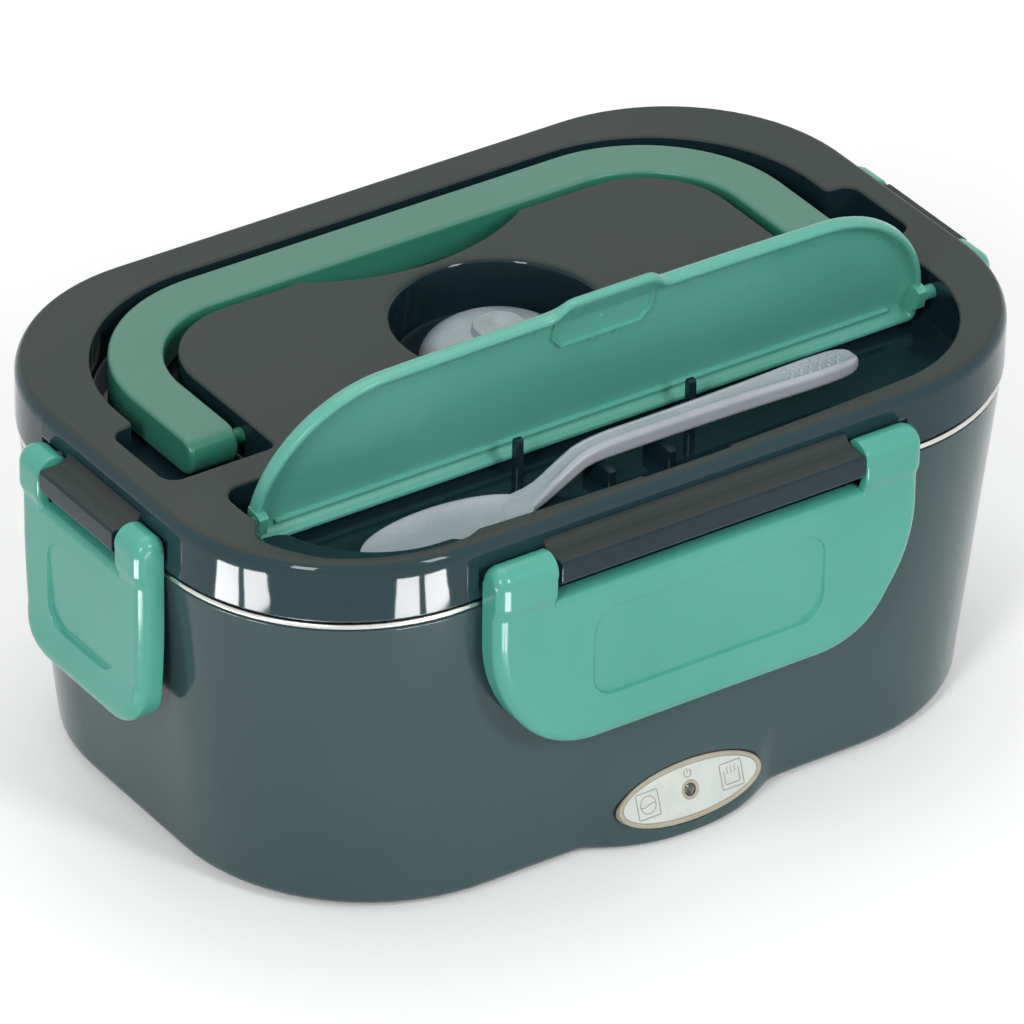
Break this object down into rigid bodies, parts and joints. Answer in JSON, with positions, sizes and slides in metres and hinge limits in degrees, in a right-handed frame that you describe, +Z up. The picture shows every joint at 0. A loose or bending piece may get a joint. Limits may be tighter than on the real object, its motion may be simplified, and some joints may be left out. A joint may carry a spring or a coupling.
{
  "type": "electric lunch box",
  "caption": "Heated lunch box with a lift-out steel pot, a lift-off lid held by side latches, a fold-down handle, a steam valve and a covered spoon bay.",
  "frame": {"origin": "centre of the footprint, on the ground under the feet", "axes": "+X along the length to the right, +Y to the back (the badge is on the -Y front), +Z up"},
  "size_m": [0.2468, 0.1688, 0.1333],
  "materials": {
    "casing": "glossy, light orange peel",
    "lid": "glossy sides, satin top",
    "green": "semi-gloss",
    "cover_green": "semi-gloss",
    "pale": "semi-gloss",
    "steel": "satin stainless",
    "silicone": "milky, soft",
    "rubber": "matt",
    "black": "matt",
    "inner": "satin",
    "brass": "dull",
    "aluminium": "cast, satin",
    "frame": "satin",
    "panel": "printed label",
    "lens": "clear",
    "lead": "insulated lead",
    "board": "laminate",
    "ceramic": "ceramic"
  },
  "bodies": {
    "base": {"outer_shell": "casing", "inner_liner": "black", "base_cover": "black", "feet": "rubber", "base_screws": "steel", "heating_plate": "aluminium", "ptc_heater": "brass", "heater_clip": "steel", "clip_screws": "steel", "thermostat": "steel", "thermal_fuse": "ceramic", "mains_inlet": "black", "mains_pins": "steel", "car_inlet": "black", "car_pin": "steel", "heater_leads": "lead", "lamp_leads": "lead", "lamp_board": "board", "status_lamp": "lens", "badge_frame": "frame", "badge_panel": "panel", "lamp_lens": "lens"},
    "pot": {"steel_pot": "steel"},
    "lid": {"lid_shell": "lid", "lid_bay": "lid", "lid_well": "lid", "lid_inner": "inner", "lid_gasket": "silicone"},
    "valve": {"vent_valve": "silicone"},
    "handle": {"carry_handle": "green"},
    "cover": {"utensil_cover": "cover_green"},
    "spoon": {"spoon": "pale"},
    "front_latch": {"latch_front": "green"},
    "back_latch": {"latch_back": "green"},
    "left_latch": {"latch_left": "green"},
    "right_latch": {"latch_right": "green"}
  },
  "joints": [
    {"name": "lid_lift", "type": "slide", "parent": "base", "child": "lid", "axis": [0, 0, 1], "range_m": [0, 0.12]},
    {"name": "pot_lift", "type": "slide", "parent": "base", "child": "pot", "axis": [0, 0, 1], "range_m": [0, 0.06]},
    {"name": "valve_lift", "type": "slide", "parent": "lid", "child": "valve", "axis": [0, 0, 1], "range_m": [0, 0.004]},
    {"name": "spoon_lift", "type": "slide", "parent": "lid", "child": "spoon", "axis": [0, 0, 1], "range_m": [0, 0.08]},
    {"name": "handle_fold", "type": "hinge", "parent": "lid", "child": "handle", "pos_m": [0, 0.0007, 0.0968], "axis": [1, 0, 0], "range_deg": [0, 90]},
    {"name": "cover_hinge", "type": "hinge", "parent": "lid", "child": "cover", "pos_m": [0, -0.0343, 0.0968], "axis": [-1, 0, 0], "range_deg": [-78.5, 20]},
    {"name": "front_latch_hinge", "type": "hinge", "parent": "lid", "child": "front_latch", "pos_m": [0, -0.0799, 0.0918], "axis": [-1, 0, 0], "range_deg": [0, 110]},
    {"name": "back_latch_hinge", "type": "hinge", "parent": "lid", "child": "back_latch", "pos_m": [0, 0.0799, 0.0918], "axis": [1, 0, 0], "range_deg": [0, 110]},
    {"name": "left_latch_hinge", "type": "hinge", "parent": "lid", "child": "left_latch", "pos_m": [-0.1189, 0, 0.0918], "axis": [0, 1, 0], "range_deg": [0, 110]},
    {"name": "right_latch_hinge", "type": "hinge", "parent": "lid", "child": "right_latch", "pos_m": [0.1189, 0, 0.0918], "axis": [0, -1, 0], "range_deg": [0, 110]}
  ],
  "couplings": [
    {"joint": "pot_lift", "follows": "lid_lift", "ratio": 0.5}
  ]
}
